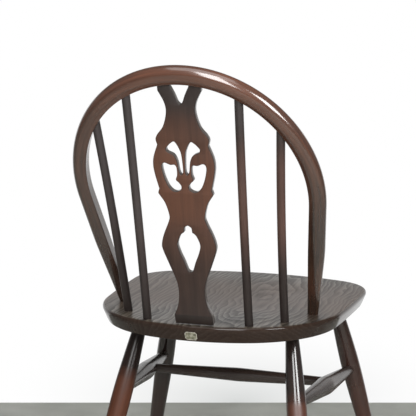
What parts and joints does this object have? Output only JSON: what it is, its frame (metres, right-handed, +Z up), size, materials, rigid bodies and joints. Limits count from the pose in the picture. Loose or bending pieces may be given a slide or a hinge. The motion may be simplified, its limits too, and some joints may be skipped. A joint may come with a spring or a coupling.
{
  "type": "spindle back dining chair",
  "caption": "Dark stained wooden dining chair with a bent bow, slim spindles, a pierced thistle splat, a saddled seat and splayed turned legs with stretchers.",
  "frame": {"origin": "middle of the bounding box on the floor plane", "axes": "+Z up, -Y towards the front of the chair, +X towards the sitter's left"},
  "size_m": [0.4848, 0.5448, 0.8476],
  "materials": {
    "seat_wood": "dark stained board, polished satin lacquer",
    "turned_wood": "dark stained turned wood, satin lacquer",
    "bow_wood": "dark stained bent wood, satin lacquer",
    "spindle_wood": "dark stained turned wood, satin lacquer",
    "splat_wood": "dark stained sawn board, satin lacquer",
    "wedge_wood": "dark stained, matt end grain",
    "label_foil": "worn plain foil"
  },
  "bodies": {
    "root": {"seat": "seat_wood", "leg_front_left": "turned_wood", "leg_front_right": "turned_wood", "leg_rear_left": "turned_wood", "leg_rear_right": "turned_wood", "side_stretcher_left": "turned_wood", "side_stretcher_right": "turned_wood", "cross_stretcher": "turned_wood", "back_bow": "bow_wood", "bow_wedge_left": "wedge_wood", "bow_wedge_right": "wedge_wood", "spindle_outer_left": "spindle_wood", "spindle_outer_right": "spindle_wood", "spindle_inner_left": "spindle_wood", "spindle_inner_right": "spindle_wood", "splat": "splat_wood", "edge_label": "label_foil"}
  },
  "joints": []
}
